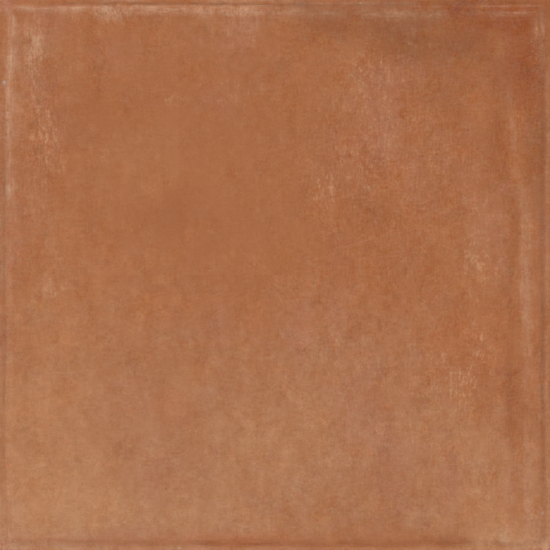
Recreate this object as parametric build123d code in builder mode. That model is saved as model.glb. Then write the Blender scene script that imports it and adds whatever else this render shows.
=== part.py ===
from build123d import *
import os

# Square terracotta floor tile, pressed and fired in one piece.
# The raised wearing face rounds down through a worn shoulder to a narrow flat rim.
# The bed is a waffle of shallow drafted pockets, which key the tile into its adhesive.
# +Z is up and the origin is at the centre of the bed, so the tile lies on z = 0.

# Driving dimensions, in millimetres and degrees
tile_side = 300.0  # overall size, both ways
tile_thickness = 10.0  # from the bed to the wearing face
tile_corner = 1.5  # radius of the upright corners
bed_bevel = 0.5  # bevel of the bed's outer edge

rim_width = 2.6  # from the side to the foot of the shoulder
rim_drop = 0.6  # the rim lies this far below the face
rim_arris = 0.6  # rounding of the rim's outer edge

shoulder_width = 4.0  # run of the rounded shoulder, from the rim to the flat face
face_corner = 3.0  # plan radius of the flat face's corners

key_count = 10  # pockets along each side of the bed
key_border = 12.0  # plain band round the pockets
key_rib = 4.0  # width of the rib between two pockets, at the bed
key_depth = 0.8  # depth of a pocket
key_corner = 2.5  # length of the cut across a pocket's corners, along each side
key_draft = 30.0  # slope of a pocket's walls, from upright

# Sizes that follow from those above
rim_height = tile_thickness - rim_drop
raised_side = tile_side - 2 * rim_width
raised_corner = face_corner + shoulder_width
key_pitch = (tile_side - 2 * key_border + key_rib) / key_count
key_side = key_pitch - key_rib

# One drafted pocket of the bed, as the waste that is taken out of the tile
with BuildPart() as key_pocket:
    with BuildSketch() as key_mouth:
        Rectangle(key_side, key_side)
        chamfer(key_mouth.vertices(), length=key_corner)
    extrude(amount=key_depth, taper=key_draft)

with BuildPart() as tile:
    # Slab: the full square, from the bed up to the rim
    with BuildSketch():
        RectangleRounded(tile_side, tile_side, tile_corner)
    extrude(amount=rim_height)
    fillet(tile.edges().group_by(Axis.Z)[-1], radius=rim_arris)
    chamfer(tile.edges().group_by(Axis.Z)[0], length=bed_bevel)

    # Raised face: stands on the slab, inside the rim
    with BuildSketch(Plane.XY.offset(rim_height)) as raised_outline:
        RectangleRounded(raised_side, raised_side, raised_corner)
    extrude(amount=rim_drop)

    # Shoulder: an arc that leaves the face without a crease and meets the rim at a slope
    rim_line = raised_outline.sketch.wire()
    across_rim = Plane(
        origin=rim_line @ 0,
        x_dir=Vector(0, 0, 1).cross(rim_line % 0),
        z_dir=rim_line % 0,
    )
    with BuildSketch(across_rim) as shoulder_waste:
        with BuildLine():
            worn_arc = TangentArc((shoulder_width, rim_drop), (0, 0), tangent=(-1, 0))
            Polyline(worn_arc @ 1, (0, rim_drop), worn_arc @ 0)
        make_face()
    sweep(sections=shoulder_waste.sketch, path=rim_line, mode=Mode.SUBTRACT)

    # Keyed bed: a square grid of pockets, with plain ribs between them
    with GridLocations(key_pitch, key_pitch, key_count, key_count):
        add(key_pocket.part, mode=Mode.SUBTRACT)

tile.part.label = "tile"

os.makedirs("parts", exist_ok=True)
export_step(tile.part, "parts/tile.step")
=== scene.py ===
import math

import bmesh
import bpy
import numpy as np
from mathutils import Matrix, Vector, noise


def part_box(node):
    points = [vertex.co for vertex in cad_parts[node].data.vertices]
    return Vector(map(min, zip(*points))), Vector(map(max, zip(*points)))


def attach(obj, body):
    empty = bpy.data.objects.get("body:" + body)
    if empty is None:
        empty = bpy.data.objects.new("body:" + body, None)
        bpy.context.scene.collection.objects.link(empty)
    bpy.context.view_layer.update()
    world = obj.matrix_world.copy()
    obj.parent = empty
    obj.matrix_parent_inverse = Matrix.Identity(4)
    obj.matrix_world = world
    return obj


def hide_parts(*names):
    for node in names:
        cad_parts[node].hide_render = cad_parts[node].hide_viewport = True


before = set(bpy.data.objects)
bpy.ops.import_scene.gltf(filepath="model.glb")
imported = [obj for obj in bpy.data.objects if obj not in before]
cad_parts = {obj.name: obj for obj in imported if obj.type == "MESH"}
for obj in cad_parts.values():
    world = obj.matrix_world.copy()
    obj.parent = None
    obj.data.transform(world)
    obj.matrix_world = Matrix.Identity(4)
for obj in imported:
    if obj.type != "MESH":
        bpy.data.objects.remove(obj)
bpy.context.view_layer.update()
tileLow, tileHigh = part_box("tile")

mm = 0.001
tileSide = (tileHigh[0] - tileLow[0]) / mm
tileThick = (tileHigh[2] - tileLow[2]) / mm
tileHalf = tileSide / 2
print("frame loaded:", round(tileSide), "mm square,", round(tileThick), "mm thick")


# Slab: the fired body's own sizes, in millimetres
slabForm = {
    "cornerRadius": 1.5,  # upright corners
    "arris": 0.6,  # rounding of the rim's outer edge
    "arrisSteps": 4,
    "rimDrop": 0.6,  # the rim lies this far below the face
    "bedBevel": 0.5,
    "fineStep": 0.4,  # mesh lines near the sides
    "openStep": 1.35,  # mesh lines across the open face
    "fineLeft": 9.0,
    "fineRight": 27.0,  # takes in the rolled edge
    "fineTop": 11.0,
    "fineBottom": 10.0,
    "hollow": 0.09,  # shallow hollows of the pressed face
    "hollowScale": 42.0,
    "hollowSeed": 4.4,
    "sideHeights": (7.4, 5.0, 2.6, 0.5),  # mesh rows down the sides
    "sideWave": 0.10,  # the sides wander inwards by up to this
    "sideScale": 17.0,
    "sideRise": 6.0,
    "sharpAngle": 40.0,  # edges sharper than this aren't smoothed over
}

# Edges of the face. A band along a side: distance in, outer and inner half width, start, end, strength. Pale
# bands are partly painted highlight where the shoulders face the key light, partly pale wear; dark bands are
# partly painted shade where the shoulders face away, partly dirt; lines are painted shade in the crease,
# partly dirt, and they also groove it
edgeForm = {
    "left": {
        "crease": 2.3, "shoulder": 6.0, "wander": 0.30, "seed": 3.7,
        "pale": (
            (6.6, 2.0, 3.2, 112, 147, 0.34), (9.5, 2.6, 2.6, 114, 142, 0.10),
            (5.7, 2.2, 2.8, 79, 117, 0.40), (10.5, 3.4, 3.4, 64, 118, 0.09), (5.5, 2.0, 2.6, 41, 79, 0.34),
            (9.0, 2.4, 2.4, 30, 66, 0.10), (6.2, 1.8, 2.8, -14, 41, 0.10), (6.6, 1.8, 2.8, -68, -14, 0.06),
            (6.6, 2.0, 3.0, -111, -68, 0.06), (6.8, 2.4, 3.0, -148, -111, 0.12),
            (1.0, 1.6, 2.0, -149, -114, 0.18), (2.6, 1.8, 1.4, 62, 124, 0.22),
            (2.0, 1.8, 2.6, -8, 50, 0.22),
        ),
        "dark": (
            (10.5, 1.6, 1.6, 108, 136, 0.12), (0.9, 1.2, 1.2, -60, 76, 0.10),
            (0.9, 1.6, 1.8, -112, -60, 0.18), (0.8, 1.2, 1.2, -14, 8, 0.38),
            (0.8, 1.2, 1.0, 104, 128, 0.30),
        ),
        "line": (
            (2.6, 0.6, 0.6, 60, 118, 0.36), (2.9, 0.8, 0.9, -14, 60, 0.36), (2.9, 0.9, 1.1, -70, -14, 0.38),
            (2.8, 0.8, 1.0, -112, -62, 0.26), (4.2, 0.5, 0.5, -148, -126, 0.30),
        ),
    },
    "right": {
        "crease": 2.7, "shoulder": 3.4, "wander": 0.25, "seed": 11.2,
        "pale": (
            (4.5, 1.2, 1.6, 112, 147, 0.30), (8.6, 1.2, 1.6, 126, 145, 0.24),
            (1.8, 1.7, 1.4, 79, 112, 0.12), (2.0, 1.8, 1.2, 41, 79, 0.20), (1.4, 1.8, 1.8, -14, 41, 0.16),
            (11.0, 2.2, 2.4, -16, 41, 0.08), (1.6, 1.7, 1.7, -68, -14, 0.11),
            (1.4, 1.8, 1.4, -111, -68, 0.08), (1.2, 1.8, 1.4, -148, -111, 0.16),
            (0.9, 1.2, 1.0, 54, 76, 0.14),
        ),
        "dark": (
            (7.0, 1.6, 1.8, 60, 110, 0.10), (4.6, 1.4, 2.4, 41, 112, 0.10),
            (4.2, 1.4, 2.8, -111, -60, 0.19), (0.8, 1.2, 1.2, -76, -48, 0.36),
        ),
        "line": (
            (5.2, 1.4, 1.8, 41, 79, 0.12), (5.3, 1.5, 1.8, -14, 41, 0.26), (4.7, 1.3, 1.7, -68, -14, 0.28),
            (3.8, 1.2, 1.3, -111, -68, 0.14), (3.1, 1.0, 1.1, -142, -111, 0.18),
            (7.9, 0.5, 0.6, -140, -129, 0.22), (5.2, 0.5, 0.6, -146, -137, 0.22),
        ),
    },
    "top": {
        "crease": 2.1, "shoulder": 4.4, "wander": 0.42, "seed": 21.9,
        "pale": (
            (4.3, 1.0, 1.8, -143, -128, 0.38), (5.2, 1.0, 1.8, -135, -119, 0.34),
            (4.6, 0.9, 2.4, -121, -104, 0.32), (4.6, 0.9, 2.2, -117, -90, 0.26),
            (7.4, 2.2, 2.8, -96, -79, 0.26), (5.8, 1.4, 2.6, -79, -41, 0.42),
            (4.3, 0.8, 1.2, -95, -48, 0.40), (4.4, 0.6, 0.8, -41, 10, 0.16), (7.4, 1.8, 2.2, -41, 14, 0.30),
            (1.2, 1.3, 1.0, -41, 10, 0.26), (7.8, 2.2, 2.4, 14, 68, 0.16), (2.1, 0.9, 0.9, 14, 76, 0.16),
            (7.9, 2.2, 2.8, 60, 94, 0.18), (7.6, 1.1, 1.8, 104, 147, 0.20), (4.0, 0.5, 0.5, 74, 82, 0.24),
            (4.1, 0.5, 0.5, 84, 92, 0.20), (3.9, 0.6, 0.6, 106, 146, 0.24), (0.9, 1.2, 1.0, -94, -72, 0.30),
        ),
        "dark": (
            (9.6, 1.6, 1.6, -95, -45, 0.24), (1.0, 1.2, 1.2, -118, -96, 0.18),
            (1.0, 1.2, 1.2, -68, -41, 0.18),
        ),
        "line": (
            (2.6, 0.5, 0.4, -122, -79, 0.52), (2.8, 0.6, 0.5, -79, -41, 0.58),
            (6.0, 0.5, 0.5, -136, -119, 0.22), (3.0, 0.7, 0.5, -41, -10, 0.44),
            (3.6, 0.6, 0.6, -12, 20, 0.52), (3.5, 0.8, 0.8, 18, 72, 0.32), (3.2, 0.8, 0.8, 68, 112, 0.24),
            (2.9, 0.7, 0.7, 112, 140, 0.15),
        ),
    },
    "bottom": {
        "crease": 1.8, "shoulder": 4.6, "wander": 0.28, "seed": 35.3,
        "pale": (
            (2.4, 2.4, 1.8, -148, -110, 0.18), (1.0, 1.6, 1.2, -110, -50, 0.18),
            (0.9, 1.4, 0.8, -50, 110, 0.10), (5.2, 1.8, 4.0, 110, 149, 0.34),
            (1.2, 1.4, 1.6, 112, 149, 0.22),
        ),
        "dark": (
            (5.9, 0.9, 1.2, -141, -110, 0.21), (5.2, 1.4, 1.9, -110, -79, 0.23),
            (4.4, 1.3, 2.8, -79, -41, 0.24), (4.4, 2.0, 3.6, -44, -8, 0.16), (3.4, 0.9, 3.4, -41, 14, 0.37),
            (2.7, 0.8, 5.0, 14, 76, 0.38), (4.8, 2.0, 3.6, 78, 107, 0.48), (0.8, 1.0, 0.8, 14, 44, 0.14),
        ),
        "line": ((2.3, 0.5, 0.5, -130, 14, 0.05),),
    },
}

# Edge bands, partly wear of the edges and partly painted light and shade: how the bands fade, break up and
# groove the clay
edgeBandForm = {
    "fade": 14.0,  # a band's ends fade over this, or over a share of a short band
    "fadeShare": 0.6,
    "mitre": 5.0,  # bands of two sides meet over this
    "broken": 0.6,  # a band comes and goes along its way
    "brokenScale": 6.0,
    "scratch": 0.9,
    "scratchUpright": (1.0, 9.0, 7.7),  # size across, size up, seed
    "scratchLevel": (8.0, 0.9, 9.1),
    "creaseLong": 13.0,  # the crease wanders in long and short waves
    "creaseShort": 3.6,
    "shortShare": 0.4,
    "groove": 0.12,  # depth of a line of full strength
}

# Rolled edge on the right: a dished foot with painted shade, partly dirt, and a crest beside it with a
# painted highlight, partly wear, row by row down the face
rollForm = {
    "rows": (106, 96, 81, 65, 49, 32, 16, 0, -17, -33, -49, -65, -82, -98, -114, -132, -142),
    "footX": (
        121.5, 121.5, 121.8, 124.2, 127.8, 131, 130.8, 128.8, 128.8,
        129, 128.8, 128.6, 129, 130, 131, 131, 131,
    ),
    "foot": (0.0, 0.5, 0.8, 0.8, 0.7, 0.9, 0.9, 0.6, 0.6, 0.6, 0.8, 1.0, 0.8, 0.5, 0.35, 0.25, 0.0),
    "crestX": (
        127.2, 127.4, 127.8, 129.4, 132.6, 134.4, 134.2, 133.6, 134.4,
        135.4, 135.6, 135.8, 135.6, 135.6, 135.8, 136, 136,
    ),
    "crest": (
        0.0, 0.10, 0.20, 0.10, 0.07, 0.16, 0.20, 0.30, 0.26,
        0.21, 0.10, 0.08, 0.14, 0.22, 0.26, 0.28, 0.1,
    ),
    "crestWidth": (2.2, 2.4, 2.6, 2.8, 3.4, 4.4, 5.0, 5.6, 5.2, 4.6, 4.8, 4.8, 5.0, 5.4, 5.6, 5.6, 5.0),
    "depth": 0.20,
    "footInner": 3.3,  # half widths, towards the face and towards the crest
    "footOuter": 2.2,
    "crestInner": 1.1,
    "shade": 0.42,  # painted shade of a full foot, partly dirt in the dish
    "sway": 0.7,
    "swayScale": 11.0,
    "swaySeed": 61.0,
}

# Small chips of the rim and shoulder: place, reach across and along, depth
chipForm = (
    (-147.3, 104.7, 1.1, 1.1, 0.18),
    (-145.0, 101.5, 0.7, 0.7, 0.12),
    (-145.4, 88.0, 0.7, 0.7, 0.12),
    (-9.3, 146.5, 8.5, 0.3, 0.06),
    (46.4, 147.8, 0.8, 0.6, 0.10),
    (145.3, -129.3, 0.8, 1.0, 0.11),
    (-52.0, -148.4, 0.8, 0.6, 0.12),
)

# Bed: the waffle of drafted pockets
bedForm = {
    "count": 10,
    "border": 12.0,
    "rib": 4.0,
    "depth": 0.8,
    "cut": 2.5,  # across a pocket's corners
    "draft": 30.0,
    "soften": 0.12,  # rounding of the mouth's edge
}


def ripple(places, scale, seed):
    # 0.37 keeps clear of the lattice, where the noise is zero
    return np.array([noise.noise(Vector((p / scale, seed, 0.37))) for p in places])


def smooth(t):
    t = np.clip(t, 0.0, 1.0)
    return t * t * (3.0 - 2.0 * t)


def alongSide(places, start, end):
    fade = min(edgeBandForm["fade"], edgeBandForm["fadeShare"] * (end - start))
    return smooth((places - start) / fade + 0.5) * smooth((end - places) / fade + 0.5)


def waveField(linesX, linesY, across, up, seed):
    return np.array([[noise.noise(Vector((px / across, py / up, seed))) for px in linesX] for py in linesY])


def meshLines(fineLow, fineHigh):
    arris = slabForm["arris"]
    steps = slabForm["arrisSteps"]
    rounding = [arris * (1 - math.cos(math.pi / 2 * k / steps)) for k in range(steps)]

    def fineLines(width):
        count = round((width - arris) / slabForm["fineStep"])
        return [arris + (width - arris) * k / count for k in range(count + 1)]

    low = [d - tileHalf for d in rounding + fineLines(fineLow)]
    high = [tileHalf - d for d in rounding + fineLines(fineHigh)][::-1]
    count = round((high[0] - low[-1]) / slabForm["openStep"])
    between = [low[-1] + (high[0] - low[-1]) * k / count for k in range(1, count)]
    return np.array(low + between + high)


def roundCorners(x, y):
    radius = slabForm["cornerRadius"]
    inner = tileHalf - radius
    a = np.maximum(np.abs(x) - inner, 0.0)
    b = np.maximum(np.abs(y) - inner, 0.0)
    both = (a > 0) & (b > 0)
    squeeze = np.where(both, np.maximum(a, b) / np.maximum(np.hypot(a, b), 1e-9), 1.0)
    newX = np.where(both, np.sign(x) * (inner + a * squeeze), x)
    newY = np.where(both, np.sign(y) * (inner + b * squeeze), y)
    edge = radius - np.hypot(a * squeeze, b * squeeze)  # distance in from the outline
    straight = np.minimum(tileHalf - np.abs(x), tileHalf - np.abs(y))
    return newX, newY, np.where(both, edge, straight)


def creaseWander(form, places):
    longWave = ripple(places, edgeBandForm["creaseLong"], form["seed"])
    shortWave = ripple(places, edgeBandForm["creaseShort"], form["seed"] + 50)
    return form["wander"] * (longWave + edgeBandForm["shortShare"] * shortWave)


def faceRelief(linesX, linesY):
    x, y = np.meshgrid(linesX, linesY)
    outX, outY, edge = roundCorners(x, y)
    away = {"left": x + tileHalf, "right": tileHalf - x, "top": tileHalf - y, "bottom": y + tileHalf}
    # Edge masks: pale is partly painted highlight, partly wear; dark is partly painted shade, partly dirt;
    # line is painted shade in the crease, partly dirt
    masks = {"pale": np.zeros_like(x), "dark": np.zeros_like(x), "line": np.zeros_like(x)}
    lacks = {}
    scratches = {
        True: waveField(linesX, linesY, *edgeBandForm["scratchUpright"]),
        False: waveField(linesX, linesY, *edgeBandForm["scratchLevel"]),
    }
    for name, form in edgeForm.items():
        upright = name in ("left", "right")
        places = linesY if upright else linesX
        spread = lambda values: values[:, None] if upright else values[None, :]
        distance = away[name] - spread(creaseWander(form, places))
        beside = ("top", "bottom") if upright else ("left", "right")
        neighbours = np.minimum(away[beside[0]], away[beside[1]])
        mitre = smooth((neighbours - distance) / edgeBandForm["mitre"] + 0.5)  # ends at the next side's bands
        lacks[name] = np.maximum(1 - (distance - form["crease"]) / form["shoulder"], 0.0)
        for key in masks:
            for row, (depth, outer, inner, start, end, strength) in enumerate(form[key]):
                broken = ripple(places, edgeBandForm["brokenScale"], form["seed"] + 80 + row)
                worn = alongSide(places, start, end) * (1 + edgeBandForm["broken"] * broken)
                width = np.where(distance < depth, outer, inner)
                band = strength * spread(worn) * np.exp(-(((distance - depth) / width) ** 2)) * mitre
                masks[key] += band * (1 + edgeBandForm["scratch"] * scratches[upright])
    lack = np.hypot(np.maximum(lacks["left"], lacks["right"]), np.maximum(lacks["top"], lacks["bottom"]))
    lack = np.minimum(lack, 1.0)  # 0 on the flat face, 1 on the rim

    rows = np.array(rollForm["rows"][::-1], dtype=float)
    follow = lambda key: np.interp(linesY, rows, rollForm[key][::-1])[:, None]
    sway = rollForm["sway"] * ripple(linesY, rollForm["swayScale"], rollForm["swaySeed"])[:, None]
    short = x - follow("footX") - sway
    width = np.where(short < 0, rollForm["footInner"], rollForm["footOuter"])
    foot = follow("foot") * np.exp(-((short / width) ** 2))
    past = x - follow("crestX") - sway
    fall = np.where(past < 0, (past / rollForm["crestInner"]) ** 2, (past / follow("crestWidth")) ** 4)
    crest = follow("crest") * np.exp(-np.minimum(fall, 60.0))  # capped against underflow
    # The foot gets painted shade, partly dirt; the crest gets a painted highlight, partly wear
    masks["dark"] += rollForm["shade"] * foot
    masks["pale"] += crest * (1 + edgeBandForm["scratch"] * scratches[True])

    arris = slabForm["arris"]
    toArris = np.clip(arris - edge, 0.0, arris)
    drop = slabForm["rimDrop"] * smooth(lack)
    drop += edgeBandForm["groove"] * masks["line"]
    drop += arris - np.sqrt(np.maximum(arris ** 2 - toArris ** 2, 0.0))
    drop += rollForm["depth"] * foot
    scale = slabForm["hollowScale"]
    waves = waveField(linesX, linesY, scale, scale, slabForm["hollowSeed"])
    drop += slabForm["hollow"] * (0.5 + 0.5 * np.clip(waves, -1, 1)) * (1 - lack)
    for px, py, reachX, reachY, depth in chipForm:
        drop += depth * np.exp(-(((x - px) / reachX) ** 2) - ((y - py) / reachY) ** 2)
    return outX, outY, tileThick - drop, {key + "Edge": mask for key, mask in masks.items()}


def ringNormals(ring):
    inner = tileHalf - slabForm["cornerRadius"]
    normals = np.sign(ring) * np.maximum(np.abs(ring) - inner, 0.0)
    return normals / np.linalg.norm(normals, axis=1, keepdims=True)


def pocketLoop(centreX, centreY, inset, z):
    pitch = (tileSide - 2 * bedForm["border"] + bedForm["rib"]) / bedForm["count"]
    h = (pitch - bedForm["rib"]) / 2 - inset
    c = bedForm["cut"] - inset * (2 - math.sqrt(2))
    shape = (
        (h, h - c), (h - c, h), (c - h, h), (-h, h - c),
        (-h, c - h), (c - h, -h), (h - c, -h), (h, c - h),
    )
    return [(centreX + u, centreY + v, z) for u, v in shape]


def addBed(verts, faces):
    count = bedForm["count"]
    pitch = (tileSide - 2 * bedForm["border"] + bedForm["rib"]) / count
    first = len(verts)
    start = -pitch * count / 2
    for j in range(count + 1):
        for i in range(count + 1):
            verts.append((start + i * pitch, start + j * pitch, 0.0))
    lean = math.tan(math.radians(bedForm["draft"]))
    soft = bedForm["soften"]
    depth = bedForm["depth"]
    section = (
        (-1.5 * soft, 0.0), (-0.3 * soft, 0.4 * soft), (1.5 * soft * lean, 1.5 * soft),
        ((depth - soft) * lean, depth - soft), (depth * lean + soft, depth),
    )
    for j in range(count):
        for i in range(count):
            centreX = start + (i + 0.5) * pitch
            centreY = start + (j + 0.5) * pitch
            corner = [first + (j + b) * (count + 1) + i + a for a, b in ((1, 1), (0, 1), (0, 0), (1, 0))]
            base = len(verts)
            for inset, z in section:
                verts.extend(pocketLoop(centreX, centreY, inset, z))
            for k in range(4):
                faces.append((corner[k], base + 2 * k, base + 2 * k + 1))
                faces.append((corner[k], base + 2 * k + 1, base + (2 * k + 2) % 8, corner[(k + 1) % 4]))
            for level in range(len(section) - 1):
                here = base + 8 * level
                for k in range(8):
                    n = (k + 1) % 8
                    faces.append((here + k, here + n, here + 8 + n, here + 8 + k))
            faces.append(tuple(range(base + 8 * (len(section) - 1), base + 8 * len(section))))


def buildTile():
    linesX = meshLines(slabForm["fineLeft"], slabForm["fineRight"])
    linesY = meshLines(slabForm["fineBottom"], slabForm["fineTop"])
    x, y, z, masks = faceRelief(linesX, linesY)
    across = len(linesX)
    down = len(linesY)
    verts = [tuple(v) for v in np.stack((x.ravel(), y.ravel(), z.ravel()), axis=1)]
    index = np.arange(across * down).reshape(down, across)
    quads = np.stack((index[:-1, :-1], index[:-1, 1:], index[1:, 1:], index[1:, :-1]), axis=-1).reshape(-1, 4)
    faces = [tuple(q) for q in quads.tolist()]
    faceCount = len(faces)

    ring = np.concatenate((index[0, :-1], index[:-1, -1], index[-1, :0:-1], index[:0:-1, 0]))
    outline = np.stack((x.ravel()[ring], y.ravel()[ring]), axis=1)
    outward = ringNormals(outline)
    upper = ring.tolist()
    rows = [(height, 0.0) for height in slabForm["sideHeights"]] + [(0.0, slabForm["bedBevel"])]
    scale = slabForm["sideScale"]
    for height, inset in rows:
        rise = height / slabForm["sideRise"]
        wave = np.array([noise.noise(Vector((px / scale, py / scale, rise))) for px, py in outline])
        inward = inset + slabForm["sideWave"] * (0.5 + 0.5 * np.clip(wave, -1, 1))
        points = outline - outward * inward[:, None]
        lower = list(range(len(verts), len(verts) + len(ring)))
        verts.extend((px, py, height) for px, py in points)
        for k in range(len(ring)):
            n = (k + 1) % len(ring)
            faces.append((upper[k], lower[k], lower[n], upper[n]))
        upper = lower
    addBed(verts, faces)

    mesh = bpy.data.meshes.new("firedTile")
    mesh.from_pydata([(a * mm, b * mm, c * mm) for a, b, c in verts], [], faces)
    shape = bmesh.new()
    shape.from_mesh(mesh)
    rim = [e for e in shape.edges if e.is_boundary]  # the bed's border, between bevel and pockets
    bmesh.ops.triangle_fill(shape, edges=rim, use_beauty=True, use_dissolve=False)
    bmesh.ops.recalc_face_normals(shape, faces=shape.faces)
    shape.to_mesh(mesh)
    shape.free()

    for name, values in masks.items():
        layer = mesh.attributes.new(name, "FLOAT", "POINT")
        full = np.zeros(len(mesh.vertices), dtype=np.float32)
        full[: across * down] = values.ravel()
        layer.data.foreach_set("value", full)
    kind = np.ones(len(mesh.polygons), dtype=np.int32)
    kind[:faceCount] = 0
    mesh.polygons.foreach_set("material_index", kind)
    mesh.shade_smooth()
    mesh.set_sharp_from_angle(angle=math.radians(slabForm["sharpAngle"]))
    return mesh


# Bake map: the face takes most of it, then the sides as strips and the bed
mapForm = {
    "margin": 0.006,
    "face": 0.735,
    "bed": 0.24,
    "stripGap": 0.006,
    "bedTilt": -0.3,  # faces that look down by more than this belong to the bed
}


def addBakeMap(mesh):
    margin = mapForm["margin"]
    loops = np.zeros(len(mesh.loops), dtype=np.int32)
    mesh.loops.foreach_get("vertex_index", loops)
    points = np.zeros(len(mesh.vertices) * 3, dtype=np.float32)
    mesh.vertices.foreach_get("co", points)
    points = points.reshape(-1, 3)[loops] / mm
    totals = np.zeros(len(mesh.polygons), dtype=np.int32)
    mesh.polygons.foreach_get("loop_total", totals)
    normals = np.zeros(len(mesh.polygons) * 3, dtype=np.float32)
    mesh.polygons.foreach_get("normal", normals)
    normals = np.repeat(normals.reshape(-1, 3), totals, axis=0)
    kinds = np.zeros(len(mesh.polygons), dtype=np.int32)
    mesh.polygons.foreach_get("material_index", kinds)
    kinds = np.repeat(kinds, totals)

    share = (points[:, :2] + tileHalf) / tileSide
    spread = np.empty((len(loops), 2), dtype=np.float32)
    top = kinds == 0
    spread[top] = margin + share[top] * mapForm["face"]
    bed = ~top & (normals[:, 2] < mapForm["bedTilt"])
    spread[bed, 0] = 1 - margin - mapForm["bed"] + share[bed, 0] * mapForm["bed"]
    spread[bed, 1] = margin + share[bed, 1] * mapForm["bed"]
    strip = mapForm["face"] * tileThick / tileSide
    sideways = ~top & ~bed
    turned = np.abs(normals[:, 0]) > np.abs(normals[:, 1])
    for row, (mask, axis) in enumerate((
        (sideways & turned & (normals[:, 0] < 0), 1),
        (sideways & turned & (normals[:, 0] >= 0), 1),
        (sideways & ~turned & (normals[:, 1] < 0), 0),
        (sideways & ~turned & (normals[:, 1] >= 0), 0),
    )):
        base = 2 * margin + mapForm["face"] + row * (strip + mapForm["stripGap"])
        spread[mask, 0] = margin + share[mask, axis] * mapForm["face"]
        spread[mask, 1] = base + points[mask, 2] / tileThick * strip
    layer = mesh.uv_layers.new(name="OFBake")
    layer.data.foreach_set("uv", spread.ravel())


def clayTone(red, green, blue):
    def linear(value):
        value = value / 255
        return value / 12.92 if value <= 0.04045 else ((value + 0.055) / 1.055) ** 2.4

    return (linear(red), linear(green), linear(blue), 1.0)


def feed(tree, target, value):
    if isinstance(value, bpy.types.NodeSocket):
        tree.links.new(value, target)
    else:
        target.default_value = value


def calc(tree, operation, *values, clamp=False):
    node = tree.nodes.new("ShaderNodeMath")
    node.operation = operation
    node.use_clamp = clamp
    for socket, value in zip(node.inputs, values):
        feed(tree, socket, value)
    return node.outputs[0]


def vectorCalc(tree, operation, *values):
    node = tree.nodes.new("ShaderNodeVectorMath")
    node.operation = operation
    for socket, value in zip(node.inputs, values):
        feed(tree, socket, value)
    return node.outputs["Value" if operation == "LENGTH" else "Vector"]


def blendTone(tree, factor, under, over):
    node = tree.nodes.new("ShaderNodeMix")
    node.data_type = "RGBA"
    feed(tree, node.inputs[0], factor)
    feed(tree, node.inputs[6], under)
    feed(tree, node.inputs[7], over)
    return node.outputs[2]


def softStep(tree, value, low, high, fromLow=0.0, fromHigh=1.0):
    node = tree.nodes.new("ShaderNodeMapRange")
    node.interpolation_type = "SMOOTHSTEP"
    for socket, number in zip(node.inputs, (value, low, high, fromLow, fromHigh)):
        feed(tree, socket, number)
    return node.outputs[0]


def clouds(tree, vector, size, detail=2.0, rough=0.5, output="Fac"):
    node = tree.nodes.new("ShaderNodeTexNoise")
    feed(tree, node.inputs["Vector"], vector)
    node.inputs["Scale"].default_value = 1 / size
    node.inputs["Detail"].default_value = detail
    node.inputs["Roughness"].default_value = rough
    return node.outputs[output]


def newGroup(name, inputs, outputs):
    group = bpy.data.node_groups.new(name, "ShaderNodeTree")
    for label, kind in inputs:
        group.interface.new_socket(name=label, in_out="INPUT", socket_type=kind)
    for label in outputs:
        group.interface.new_socket(name=label, in_out="OUTPUT", socket_type="NodeSocketFloat")
    return group, group.nodes.new("NodeGroupInput"), group.nodes.new("NodeGroupOutput")


# Clay texture: noises (size, detail, roughness) for wipe marks, clouds, weave, speckle and hue, then tints
clayTexture = {
    "wipe": (13.0, 2.0, 0.8),
    "cloud": (5.5, 3.0, 1.0),
    "streak": (1.3, 1.0, 0.7),
    "cross": (1.6, 1.0, 0.7),
    "grain": (1.3, 1.0, 0.8),
    "warm": (20.0, 4.0, 0.9),
    "olive": (5.0, 3.0, 0.9),
    "scuff": (2.4, 3.0, 0.8),
    "warmShift": (700.0, 300.0, 0.0),  # read from elsewhere, so that no two noises agree
    "oliveShift": (-400.0, -900.0, 0.0),
    "scuffShift": (90.0, 40.0, 0.0),
    "billow": 0.7,  # pale clouds are this much stronger
    "sparseLeast": 0.6,  # a few grains stand out
    "sparsePeak": 16.0,
    "poreScale": 0.28,
    "poreEdge": (0.05, 0.16),
    "weaveHeight": 0.4,
    "poreHeight": -1.2,
    "wipeTint": (0.105, 0.072, 0.047),
    "cloudTint": (0.172, 0.118, 0.077),
    "weaveTint": (0.044, 0.031, 0.021),
    "grainTint": (0.079, 0.054, 0.037),
    "warmTint": (0.097, 0.010, -0.030),
    "oliveTint": (-0.042, 0.026, -0.0045),
}


def buildStainPatch():
    vector = "NodeSocketVector"
    number = "NodeSocketFloat"
    inputs = (
        ("Place", vector), ("Mask", number), ("Centre", vector), ("Reach", vector), ("Strength", number),
    )
    group, given, result = newGroup("stainPatch", inputs, ("Mask",))
    offset = vectorCalc(group, "SUBTRACT", given.outputs["Place"], given.outputs["Centre"])
    offset = vectorCalc(group, "DIVIDE", offset, given.outputs["Reach"])
    core = 0.1  # a patch is whole within this share of its spread
    fall = softStep(group, vectorCalc(group, "LENGTH", offset), core, 1.0, 1.0, 0.0)
    total = calc(group, "MULTIPLY_ADD", fall, given.outputs["Strength"], given.outputs["Mask"])
    group.links.new(total, result.inputs["Mask"])
    return group


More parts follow.
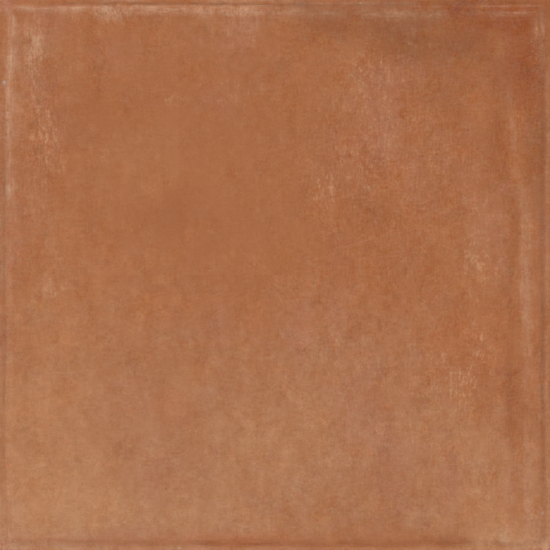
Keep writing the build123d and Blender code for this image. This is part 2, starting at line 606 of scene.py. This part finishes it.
def buildClayGrain():
    vector = "NodeSocketVector"
    number = "NodeSocketFloat"
    inputs = (
        ("Place", vector), ("Along", vector), ("Across", vector),
        ("Strength", number), ("Pore Share", number),
    )
    outputs = ("Wipe", "Cloud", "Streak", "Scuff", "Pores", "Height")
    group, given, result = newGroup("clayGrain", inputs, outputs)
    group.interface.new_socket(name="Tint", in_out="OUTPUT", socket_type="NodeSocketColor")
    place = given.outputs["Place"]
    strength = given.outputs["Strength"]

    def shifted(source, name):
        return vectorCalc(group, "ADD", source, clayTexture[name])

    def centred(source, name):
        return calc(group, "SUBTRACT", clouds(group, source, *clayTexture[name]), 0.5)

    along = vectorCalc(group, "MULTIPLY", place, given.outputs["Along"])
    across = vectorCalc(group, "MULTIPLY", place, given.outputs["Across"])
    wipe = centred(along, "wipe")
    cloud = centred(place, "cloud")
    streak = centred(vectorCalc(group, "MULTIPLY", along, given.outputs["Along"]), "streak")
    weave = calc(group, "ADD", streak, centred(across, "cross"))
    grain = centred(place, "grain")
    sparse = calc(group, "MULTIPLY", grain, grain)
    sparse = calc(group, "MULTIPLY_ADD", sparse, clayTexture["sparsePeak"], clayTexture["sparseLeast"])
    sparse = calc(group, "MULTIPLY", sparse, grain)
    billow = calc(group, "MULTIPLY_ADD", cloud, clayTexture["billow"], 1.0)
    billow = calc(group, "MULTIPLY", billow, cloud)
    warm = centred(shifted(place, "warmShift"), "warm")
    olive = centred(shifted(place, "oliveShift"), "olive")
    tint = vectorCalc(group, "MULTIPLY", warm, clayTexture["warmTint"])
    tint = vectorCalc(group, "MULTIPLY_ADD", olive, clayTexture["oliveTint"], tint)
    tint = vectorCalc(group, "MULTIPLY", tint, strength)  # hue drifts most where the texture is strong
    for layer, name in ((wipe, "wipe"), (billow, "cloud"), (weave, "weave"), (sparse, "grain")):
        tint = vectorCalc(group, "MULTIPLY_ADD", layer, clayTexture[name + "Tint"], tint)
    tint = vectorCalc(group, "MULTIPLY", tint, strength)

    scuff = clouds(group, shifted(along, "scuffShift"), *clayTexture["scuff"])
    cells = group.nodes.new("ShaderNodeTexVoronoi")
    group.links.new(place, cells.inputs["Vector"])
    cells.inputs["Scale"].default_value = clayTexture["poreScale"]
    chance = vectorCalc(group, "LENGTH", cells.outputs["Color"])
    chosen = calc(group, "LESS_THAN", chance, given.outputs["Pore Share"])
    pores = softStep(group, cells.outputs["Distance"], *clayTexture["poreEdge"], 1.0, 0.0)
    pores = calc(group, "MULTIPLY", pores, chosen)
    height = calc(group, "MULTIPLY_ADD", weave, clayTexture["weaveHeight"], grain)
    height = calc(group, "MULTIPLY_ADD", pores, clayTexture["poreHeight"], height)
    made = {
        "Wipe": wipe, "Cloud": cloud, "Streak": streak, "Scuff": scuff,
        "Pores": pores, "Height": height, "Tint": tint,
    }
    for label, socket in made.items():
        group.links.new(socket, result.inputs[label])
    return group


def placeGroup(tree, group, **values):
    node = tree.nodes.new("ShaderNodeGroup")
    node.node_tree = group
    for name, value in values.items():
        feed(tree, node.inputs[name], value)
    return node


def placeGrain(tree, group, place, form, strength):
    return placeGroup(
        tree, group, Place=place, Along=form["along"], Across=form["across"], Strength=strength,
        **{"Pore Share": form["poreShare"]},
    )


def newMaterial(name):
    material = bpy.data.materials.new(name)
    material.use_nodes = True
    return material, material.node_tree, material.node_tree.nodes["Principled BSDF"]


def tilePlace(tree, flat):
    coordinates = tree.nodes.new("ShaderNodeTexCoord")
    scale = (1 / mm, 1 / mm, 0.0 if flat else 1 / mm)
    return vectorCalc(tree, "MULTIPLY", coordinates.outputs["Object"], scale)


def wander(tree, place, size, amount):
    shift = vectorCalc(tree, "SUBTRACT", clouds(tree, place, size, 2.0, 0.5, "Color"), (0.5, 0.5, 0.5))
    shift = vectorCalc(tree, "MULTIPLY", shift, (amount, amount, 0.0))
    return vectorCalc(tree, "ADD", place, shift)


def readMask(tree, name):
    node = tree.nodes.new("ShaderNodeAttribute")
    node.attribute_type = "GEOMETRY"
    node.attribute_name = name
    return node.outputs["Fac"]


def addRelief(tree, shader, grain, form):
    shader.inputs["Specular IOR Level"].default_value = form["specular"]
    bump = tree.nodes.new("ShaderNodeBump")
    bump.inputs["Strength"].default_value = form["bump"]
    bump.inputs["Distance"].default_value = form["bumpDepth"] * mm
    feed(tree, bump.inputs["Height"], grain.outputs["Height"])
    tree.links.new(bump.outputs["Normal"], shader.inputs["Normal"])


# Worn face: the clay's own tone, then stains as soft patches (x, y, reach across, reach up, strength)
faceStains = {
    "clay": (167, 104, 66),
    "spread": 1.45,  # a patch fades out this far past its reach
    "drift": ((34.0, 10.0), (11.0, 6.0), (4.5, 3.0), (1.8, 1.4)),  # ragged outlines: size, amount
    "nearbyDrift": (5.0, 3.0),  # less ragged, for wear and flecks
    "ragged": (1.1, 1.3),  # wipe marks and clouds break up the stains by these shares
    "frayed": (1.6, 2.4),  # the edges
    "clustered": (3.0, 3.4),  # and the flecks
    "torn": 2.2,  # streaks break up the wear
    "grain": {
        "along": (1.0, 0.5, 1.0),
        "across": (0.3, 1.0, 1.0),
        "poreShare": 0.25,
        "least": 0.10,
        "patchy": (15.0, 2.0, 0.5),  # noise: size, detail, roughness
        "swing": 1.9,
        "calm": -0.4,  # in the smooth area
    },
    "smoothArea": ((-50, 62, 75, 68, 1.0), (-20, 20, 50, 30, 0.5), (-78, -88, 75, 65, 0.45)),
    "haze": {
        "tone": (178, 131, 98),
        "patches": (
            (-20, -108, 210, 78, 0.42), (-120, -134, 44, 24, 0.32), (-50, -136, 40, 16, 0.22),
            (125, -140, 26, 12, 0.30), (-95, -18, 60, 30, 0.04), (20, -38, 60, 20, 0.12),
            (-132, 95, 14, 60, 0.06), (-30, 130, 30, 14, 0.06), (109, 27, 14, 14, 0.12),
            (48, 98, 12, 13, 0.14), (60, 78, 12, 18, 0.12), (-15, 139, 34, 5, 0.14), (55, 138, 14, 4, 0.22),
            (82, -133, 12, 8, 0.30), (-143, -148, 12, 4, 0.30), (118, 24, 8, 14, 0.10),
            (-122, 125, 8, 8, 0.32), (-133, 124, 7, 14, 0.22), (32, 94, 8, 8, 0.10), (49, -126, 8, 8, 0.10),
            (-128, -17, 8, 9, 0.10),
        ),
    },
    "sand": {
        "tone": (189, 133, 91),
        "patches": (
            (-118, -88, 44, 62, 0.34), (-115, -125, 36, 20, 0.26), (-104, -12, 50, 30, 0.17),
            (0, -88, 34, 32, 0.18), (120, -122, 22, 32, 0.25), (-48, -66, 9, 18, 0.13),
            (-75, 62, 30, 22, 0.16), (112, 3, 18, 18, 0.12), (-121, 28, 12, 18, 0.18),
            (103, -88, 14, 14, 0.18), (64, -62, 10, 10, 0.12), (120, -144, 22, 9, 0.50),
            (84, -82, 15, 14, 0.16), (-136, -109, 11, 13, 0.14), (-54, -138, 16, 10, 0.16),
            # The long strip at (-80, -149) is painted light: it lifts the shade of the bottom shoulder
            (-80, -149, 60, 5, 0.22), (-63, -125, 44, 14, 0.10), (-137, -75, 8, 26, 0.16),
            (-128, -118, 14, 20, 0.14), (-22, -104, 10, 22, 0.10), (18, -82, 10, 10, 0.12),
            (-34, -124, 14, 16, 0.08), (32, 94, 8, 8, 0.22), (49, -126, 8, 8, 0.30), (86, -64, 9, 8, 0.24),
            (-128, -17, 8, 9, 0.18), (141, 140, 6, 6, 0.20), (110, -118, 8, 11, 0.18),
            (56, -58, 7, 7, 0.18), (83, -134, 8, 7, 0.20), (89, 89, 7, 8, 0.18),
        ),
    },
    "lilac": {
        "tone": (174, 117, 97),
        "patches": (
            (60, 84, 22, 34, 0.13), (80, 47, 15, 16, 0.14), (104, 60, 9, 26, 0.14), (118, 18, 10, 18, 0.16),
            (38, 60, 18, 22, 0.10), (14, -34, 9, 20, 0.22), (33, -18, 12, 14, 0.16),
            (-31, -26, 6, 20, 0.18), (-78, -72, 22, 22, 0.12), (-68, -108, 14, 18, 0.16),
            (62, -106, 10, 26, 0.20), (94, -110, 7, 26, 0.16), (130, -117, 6, 20, 0.16),
            (-125, 86, 12, 30, 0.14), (-130, 36, 10, 26, 0.10), (-88, 120, 14, 10, 0.14),
            (-19, 128, 13, 14, 0.18), (-124, -8, 8, 10, 0.08), (-29, 98, 11, 11, 0.20),
            (66, 106, 11, 13, 0.14), (57, 76, 9, 18, 0.12), (-125, 138, 14, 10, 0.24),
            (42, -62, 14, 26, 0.10), (60, -80, 26, 40, 0.10), (118, 36, 10, 14, 0.12),
            (-80, -144, 75, 6, 0.22), (-147, 147, 7, 7, 0.45), (-148, -40, 5, 16, 0.25),
            (148, 15, 5, 14, 0.25), (-141, 14, 6, 20, 0.16), (-147, -147, 7, 7, 0.30),
        ),
    },
    "rust": {
        "tone": (159, 96, 59),
        "patches": (
            (-54, 33, 16, 15, 0.52), (-10, 92, 34, 20, 0.20), (49, 33, 15, 13, 0.40),
            (62, 12, 30, 20, 0.26), (95, 98, 14, 16, 0.54), (120, 66, 9, 34, 0.65), (-96, 92, 26, 20, 0.28),
            (52, -134, 40, 12, 0.28), (8, 118, 20, 12, 0.16), (106, 80, 16, 12, 0.35),
            (60, -62, 12, 16, 0.16), (62, -112, 22, 20, 0.16), (114, -57, 10, 16, 0.24),
            (114, 109, 14, 14, 0.60), (-46, -80, 12, 10, 0.14), (133, -62, 11, 30, 0.50),
            (88, -144.6, 13, 3.2, 0.60), (55, 54, 14, 14, 0.16), (42, 52, 10, 12, 0.10),
            (92, 57, 15, 15, 0.20), (-73, -104, 16, 16, 0.08), (-86, -74, 16, 22, 0.10),
            (-40, -70, 16, 20, 0.08), (17, 83, 8, 9, 0.36), (47, 85, 8, 8, 0.34), (-134, -115, 8, 8, 0.25),
            (-129, 86, 8, 8, 0.30), (-138, 48, 6, 10, 0.30), (134, -23, 6, 9, 0.34), (-44, 135, 8, 6, 0.30),
            (111, -41, 9, 9, 0.26), (-93, -88, 9, 9, 0.20), (-109, -30, 8, 8, 0.16), (47, 112, 8, 8, 0.28),
            (-93, -47, 8, 8, 0.20), (67, -141, 8, 6, 0.24), (125, -126, 7, 8, 0.20), (50, -93, 8, 8, 0.22),
            (-39, -138, 9, 6, 0.22), (35, -42, 8, 8, 0.20),
        ),
    },
    "brick": {
        "tone": (180, 103, 62),
        "patches": (
            (106, -40, 22, 26, 0.22), (-11, -25, 9, 12, 0.18), (-60, -17, 13, 11, 0.13),
            (-95, 8, 22, 14, 0.12), (-60, -145, 70, 4, 0.16), (45, 10, 30, 18, 0.10),
            (-54, -74, 12, 12, 0.18), (-22, -144, 34, 5, 0.35), (32, -146, 50, 6, 0.24),
            (143, -54, 7, 11, 0.26),
        ),
    },
    "umber": {
        "tone": (147, 90, 57),
        "patches": (
            (87, 126, 30, 15, 0.80), (110, 127, 14, 12, 0.45), (62, 129, 20, 13, 0.42),
            (46, 141, 36, 11, 0.60), (98, 146, 48, 9, 0.80), (142, 72, 9, 40, 0.65),
            (147, 128, 6, 26, 0.40), (22, 132, 16, 9, 0.36), (14, 144, 24, 6, 0.50), (31, 130, 14, 8, 0.38),
            (124, 108, 8, 16, 0.34), (84, 100, 24, 14, 0.18), (49, 33, 12, 11, 0.15),
            (66, -115, 12, 18, 0.10), (130, 37, 6, 9, 0.28), (124, 92, 7, 9, 0.24), (133, 27, 6, 8, 0.22),
            (-128, 83, 7, 8, 0.20), (126, 149, 30, 4, 0.45),
        ),
    },
    "oxide": {
        "tone": (147, 80, 46),
        "patches": (
            (136, 113, 11, 30, 0.74), (126, 141, 28, 9, 0.78), (99, 143, 9, 5, 0.40),
            (128.5, -68, 5, 26, 0.30), (90, 148, 28, 4, 0.22), (108, 138, 18, 10, 0.22),
            (122, 133, 16, 10, 0.34), (68, 144, 9, 5, 0.16), (139, 122, 6, 7, 0.20), (144, 108, 6, 8, 0.20),
        ),
    },
    "mist": {
        "tone": (204, 156, 124),
        "range": (0.02, 0.50),
        "most": 0.48,
        "patches": (
            (-88, 142, 15, 5.5, 0.34), (-33, 144, 36, 4, 0.20), (-19, 134, 12, 12, 0.16),
            (-131, 122, 6.5, 22, 0.30), (-124, 76, 10, 20, 0.14), (-131, 42, 8, 22, 0.07),
            (74, 141.4, 24, 5.0, 0.08), (-124, -8, 7, 10, 0.10), (-146, -147, 9, 6, 0.30),
            (-113, 143, 9, 4.5, 0.10), (-9.5, 40, 0.9, 18, 0.16), (147, -147, 6, 6, 0.40),
        ),
    },
    "fleck": {
        "tone": (199, 150, 112),
        "range": (0.64, 0.90),
        "most": 0.44,
        "crowd": 0.22,  # flecks crowd where the wear is strong
        "patches": (
            (54, 90, 21, 32, 0.44), (42, 52, 16, 20, 0.45), (92, 57, 32, 28, 0.40), (112, 10, 18, 28, 0.60),
            (25, 50, 13, 17, 0.50), (92, -54, 28, 14, 0.46), (103, -70, 16, 22, 0.42),
            (-126, 118, 12, 26, 0.38), (-125, 66, 16, 34, 0.60), (-120, -6, 11, 15, 0.50),
            (-70, 141, 62, 7, 0.45), (-25, 98, 18, 10, 0.45), (-55, 95, 9, 7, 0.45),
            (62, 120, 30, 20, 0.35), (141, 124, 6, 28, 0.50), (140, -129, 8, 17, 0.55),
            (35, -42, 34, 28, 0.35), (108, -38, 18, 18, 0.45), (-95, -60, 40, 60, 0.20),
            (40, -110, 70, 30, 0.20),
        ),
    },
    "grit": {
        "tint": (0.050, 0.036, 0.026),
        "patches": (
            (60, 60, 58, 60, 0.8), (70, -70, 74, 64, 0.5), (-128, 84, 18, 56, 0.7), (131, 85, 13, 24, 0.6),
        ),
    },
    # Edge tones, in order: painted shade for the crease lines, partly dirt; painted shade for the shoulders
    # facing away from the key light and for the rolled foot, partly dirt; painted highlight for the lit
    # shoulders and the crest, partly pale wear
    "creaseShadeAndDirt": (134, 92, 66),
    "shade": (150, 87, 51),
    "litLipAndWear": (190, 145, 116),
    "chip": {"tone": (180, 162, 148), "gain": 4.5, "most": 0.7},
    "poreTint": (-0.05, -0.03, -0.02),
    "roughness": 0.82,
    "roughSwing": 0.6,
    "roughMist": 0.08,
    "specular": 0.2,
    "bump": 0.35,
    "bumpDepth": 0.12,
}


def stainMask(tree, patchGroup, place, patches):
    mask = 0.0
    for x, y, across, up, strength in patches:
        reach = (across * faceStains["spread"], up * faceStains["spread"], 1.0)
        node = placeGroup(
            tree, patchGroup, Place=place, Mask=mask, Centre=(x, y, 0.0), Reach=reach, Strength=strength,
        )
        mask = node.outputs["Mask"]
    return mask


def buildFaceMaterial(patchGroup, grainGroup):
    material, tree, shader = newMaterial("wornFace")
    place = tilePlace(tree, flat=True)
    drifted = place
    for size, amount in faceStains["drift"]:
        drifted = wander(tree, drifted, size, amount)
    nearby = wander(tree, place, *faceStains["nearbyDrift"])
    texture = faceStains["grain"]
    smoothArea = stainMask(tree, patchGroup, drifted, faceStains["smoothArea"])
    strength = calc(tree, "MULTIPLY_ADD", smoothArea, texture["calm"], texture["least"])
    patchy = clouds(tree, place, *texture["patchy"])
    strength = calc(tree, "MULTIPLY_ADD", patchy, texture["swing"], strength)
    grain = placeGrain(tree, grainGroup, place, texture, strength)
    cloud = grain.outputs["Cloud"]
    streak = grain.outputs["Streak"]

    def breakUp(name, base):
        wipeShare, cloudShare = faceStains[name]
        base = calc(tree, "MULTIPLY_ADD", cloud, cloudShare, base)
        return calc(tree, "MULTIPLY_ADD", grain.outputs["Wipe"], wipeShare, base)

    tone = clayTone(*faceStains["clay"])
    ragged = breakUp("ragged", 1.0)
    for name in ("haze", "sand", "lilac", "rust", "brick", "umber", "oxide"):
        mask = stainMask(tree, patchGroup, drifted, faceStains[name]["patches"])
        mask = calc(tree, "MULTIPLY", mask, ragged, clamp=True)
        tone = blendTone(tree, mask, tone, clayTone(*faceStains[name]["tone"]))

    frayed = breakUp("frayed", 1.0)
    torn = calc(tree, "MULTIPLY_ADD", streak, faceStains["torn"], frayed)
    form = faceStains["mist"]
    mist = calc(tree, "MULTIPLY", stainMask(tree, patchGroup, nearby, form["patches"]), torn)
    mist = softStep(tree, mist, *form["range"], 0.0, form["most"])
    tone = blendTone(tree, mist, tone, clayTone(*form["tone"]))
    form = faceStains["fleck"]
    fleck = stainMask(tree, patchGroup, nearby, form["patches"])
    fleck = calc(tree, "MULTIPLY", fleck, breakUp("clustered", torn))
    fleck = calc(tree, "MULTIPLY_ADD", fleck, form["crowd"], grain.outputs["Scuff"])
    fleck = softStep(tree, fleck, *form["range"], 0.0, form["most"])
    tone = blendTone(tree, fleck, tone, clayTone(*form["tone"]))

    # Edge bands: painted shade and painted highlight, partly dirt and wear
    for name, colour in (("darkEdge", "shade"), ("paleEdge", "litLipAndWear"), ("lineEdge", "creaseShadeAndDirt")):
        mask = calc(tree, "MULTIPLY", readMask(tree, name), frayed, clamp=True)
        tone = blendTone(tree, mask, tone, clayTone(*faceStains[colour]))
    form = faceStains["chip"]
    spots = [(x, y, across, along, form["gain"] * depth) for x, y, across, along, depth in chipForm]
    chips = calc(tree, "MINIMUM", stainMask(tree, patchGroup, place, spots), form["most"])
    tone = blendTone(tree, chips, tone, clayTone(*form["tone"]))

    form = faceStains["grit"]
    grit = stainMask(tree, patchGroup, drifted, form["patches"])
    grit = calc(tree, "MULTIPLY", calc(tree, "ADD", grain.outputs["Height"], streak), grit)
    pores = grain.outputs["Pores"]
    pitted = vectorCalc(tree, "MULTIPLY_ADD", pores, faceStains["poreTint"], grain.outputs["Tint"])
    pitted = vectorCalc(tree, "MULTIPLY_ADD", grit, form["tint"], pitted)
    feed(tree, shader.inputs["Base Color"], vectorCalc(tree, "ADD", tone, pitted))

    roughness = calc(tree, "MULTIPLY_ADD", cloud, faceStains["roughSwing"], faceStains["roughness"])
    roughness = calc(tree, "MULTIPLY_ADD", mist, faceStains["roughMist"], roughness, clamp=True)
    feed(tree, shader.inputs["Roughness"], roughness)
    addRelief(tree, shader, grain, faceStains)
    return material


# Fired body: the sides and the bed, plainer than the face, with pores and a dusting of kiln powder
bodyClay = {
    "clay": (172, 112, 77),
    "grain": {"along": (0.4, 0.4, 1.0), "across": (1.0, 1.0, 0.4), "poreShare": 0.55, "strength": 1.3},
    "deep": {"tone": (154, 92, 58), "patchy": (22.0, 4.0, 0.6), "range": (0.42, 0.72), "most": 0.7},
    "dust": {
        "tone": (196, 150, 120),
        "height": (0.05, 0.7),  # powder stays on the ribs and the foot
        "below": 0.55,
        "cloudShare": 3.0,
        "range": (0.1, 0.8),
        "most": 0.6,
    },
    "poreTint": (-0.10, -0.06, -0.04),
    "roughness": 0.88,
    "roughSwing": 0.6,
    "specular": 0.2,
    "bump": 0.6,
    "bumpDepth": 0.2,
}


def buildBodyMaterial(grainGroup):
    material, tree, shader = newMaterial("firedBody")
    place = tilePlace(tree, flat=False)
    grain = placeGrain(tree, grainGroup, place, bodyClay["grain"], bodyClay["grain"]["strength"])
    cloud = grain.outputs["Cloud"]
    form = bodyClay["deep"]
    deep = softStep(tree, clouds(tree, place, *form["patchy"]), *form["range"], 0.0, form["most"])
    tone = blendTone(tree, deep, clayTone(*bodyClay["clay"]), clayTone(*form["tone"]))
    form = bodyClay["dust"]
    height = tree.nodes.new("ShaderNodeSeparateXYZ")
    tree.links.new(place, height.inputs[0])
    low = softStep(tree, height.outputs["Z"], *form["height"], form["below"], 0.0)
    dust = calc(tree, "MULTIPLY_ADD", cloud, form["cloudShare"], low)
    dust = softStep(tree, dust, *form["range"], 0.0, form["most"])
    tone = blendTone(tree, dust, tone, clayTone(*form["tone"]))
    pores = grain.outputs["Pores"]
    pitted = vectorCalc(tree, "MULTIPLY_ADD", pores, bodyClay["poreTint"], grain.outputs["Tint"])
    feed(tree, shader.inputs["Base Color"], vectorCalc(tree, "ADD", tone, pitted))
    roughness = calc(tree, "MULTIPLY_ADD", cloud, bodyClay["roughSwing"], bodyClay["roughness"], clamp=True)
    feed(tree, shader.inputs["Roughness"], roughness)
    addRelief(tree, shader, grain, bodyClay)
    return material


tileMesh = buildTile()
addBakeMap(tileMesh)
patchGroup = buildStainPatch()
grainGroup = buildClayGrain()
tileMesh.materials.append(buildFaceMaterial(patchGroup, grainGroup))
tileMesh.materials.append(buildBodyMaterial(grainGroup))
firedTile = bpy.data.objects.new("firedTile", tileMesh)
bpy.context.scene.collection.objects.link(firedTile)
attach(firedTile, "root")
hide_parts("tile")
triangles = sum(p.loop_total - 2 for p in tileMesh.polygons)
print("tile:", len(tileMesh.vertices), "points,", triangles, "triangles")


# Stage: pale floor, soft key light from the face's upper left, even fill
stageForm = {
    "floorSize": 12.0,  # metres
    "floorTone": (232, 230, 227),
    "floorRough": 0.9,
    "floorGap": 0.02,  # mm below the bed
    "keyFrom": (-0.55, 0.60, 0.75),
    "keySpread": 35.0,
    "keyShare": 0.5,  # of the light on the face
    "lens": 200.0,
    "sensor": 36.0,
    "crop": 0.60,  # mm of the rounded arris left out of the frame, each side
}


def buildFloor():
    half = stageForm["floorSize"] / 2
    mesh = bpy.data.meshes.new("floor")
    corners = [(-half, -half, 0), (half, -half, 0), (half, half, 0), (-half, half, 0)]
    mesh.from_pydata(corners, [], [(0, 1, 2, 3)])
    floor = bpy.data.objects.new("floor", mesh)
    floor.location.z = tileLow[2] - stageForm["floorGap"] * mm
    material, tree, shader = newMaterial("paleFloor")
    shader.inputs["Base Color"].default_value = clayTone(*stageForm["floorTone"])
    shader.inputs["Roughness"].default_value = stageForm["floorRough"]
    mesh.materials.append(material)
    bpy.context.scene.collection.objects.link(floor)


def buildLight():
    towards = Vector(stageForm["keyFrom"]).normalized()
    lamp = bpy.data.lights.new("key", "SUN")
    lamp.angle = math.radians(stageForm["keySpread"])
    lamp.energy = math.pi * stageForm["keyShare"] / towards.z
    key = bpy.data.objects.new("key", lamp)
    key.rotation_euler = towards.to_track_quat("Z", "Y").to_euler()
    bpy.context.scene.collection.objects.link(key)

    world = bpy.data.worlds.new("studio")
    bpy.context.scene.world = world
    world.use_nodes = True
    tree = world.node_tree
    fill = tree.nodes["Background"]
    fill.inputs["Color"].default_value = (1, 1, 1, 1)
    fill.inputs["Strength"].default_value = 1 - stageForm["keyShare"]
    white = tree.nodes.new("ShaderNodeBackground")
    white.inputs["Color"].default_value = (1, 1, 1, 1)
    path = tree.nodes.new("ShaderNodeLightPath")
    seen = calc(tree, "MAXIMUM", path.outputs["Is Camera Ray"], path.outputs["Is Glossy Ray"])
    seen = calc(tree, "MAXIMUM", seen, path.outputs["Is Transmission Ray"])
    mix = tree.nodes.new("ShaderNodeMixShader")
    tree.links.new(seen, mix.inputs[0])
    tree.links.new(fill.outputs[0], mix.inputs[1])
    tree.links.new(white.outputs[0], mix.inputs[2])
    tree.links.new(mix.outputs[0], tree.nodes["World Output"].inputs["Surface"])


def buildCamera():
    data = bpy.data.cameras.new("above")
    data.lens = stageForm["lens"]
    data.sensor_width = stageForm["sensor"]
    camera = bpy.data.objects.new("above", data)
    shown = (tileSide - 2 * stageForm["crop"]) * mm
    camera.location = (0, 0, tileHigh[2] + shown * stageForm["lens"] / stageForm["sensor"])
    bpy.context.scene.collection.objects.link(camera)
    bpy.context.scene.camera = camera


buildFloor()
buildLight()
buildCamera()
bpy.context.scene.view_settings.view_transform = "Standard"
print("stage set")
